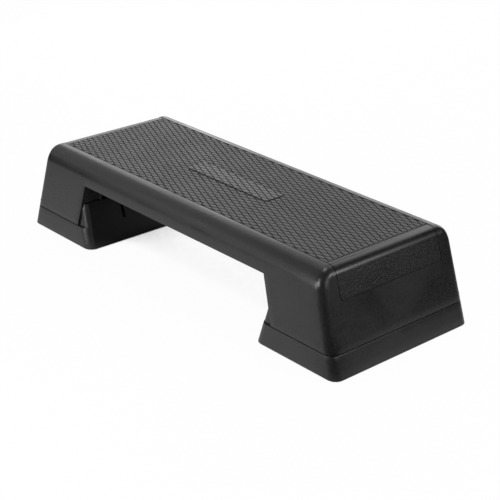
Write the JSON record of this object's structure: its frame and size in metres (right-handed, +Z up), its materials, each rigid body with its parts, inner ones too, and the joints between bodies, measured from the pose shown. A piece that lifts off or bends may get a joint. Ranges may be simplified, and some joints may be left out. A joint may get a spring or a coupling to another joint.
{
  "type": "aerobic step platform",
  "caption": "Long low exercise step: a rounded moulded deck with a grooved tread mat, standing on plug-in riser feet with rubber pads.",
  "frame": {"origin": "floor level under the middle of the step, at the underside of the foot pads", "axes": "+X along the length, +Y to the back, +Z up"},
  "size_m": [0.9832, 0.3678, 0.2012],
  "materials": {
    "shell_plastic": "satin black moulded plastic with a fine grain",
    "cover_plastic": "satin black moulded plastic, coarse grain on the end panel",
    "foot_plastic": "satin black moulded plastic with a fine grain",
    "mat_rubber": "dark grey non-slip rubber with diamond tiles",
    "pad_rubber": "plain black rubber"
  },
  "bodies": {
    "deck": {"deck_shell": "shell_plastic", "tread_mat": "mat_rubber", "left_end_cover": "cover_plastic", "left_deck_pad_1": "pad_rubber", "left_deck_pad_2": "pad_rubber", "right_end_cover": "cover_plastic", "right_deck_pad_1": "pad_rubber", "right_deck_pad_2": "pad_rubber"},
    "left_foot": {"left_foot": "foot_plastic", "left_foot_pad_1": "pad_rubber", "left_foot_pad_2": "pad_rubber", "left_foot_pad_3": "pad_rubber", "left_foot_pad_4": "pad_rubber"},
    "right_foot": {"right_foot": "foot_plastic", "right_foot_pad_1": "pad_rubber", "right_foot_pad_2": "pad_rubber", "right_foot_pad_3": "pad_rubber", "right_foot_pad_4": "pad_rubber"}
  },
  "joints": [
    {"name": "left_foot_pull", "type": "slide", "parent": "deck", "child": "left_foot", "axis": [0, 0, -1], "range_m": [0, 0.06]},
    {"name": "right_foot_pull", "type": "slide", "parent": "deck", "child": "right_foot", "axis": [0, 0, -1], "range_m": [0, 0.06]}
  ]
}
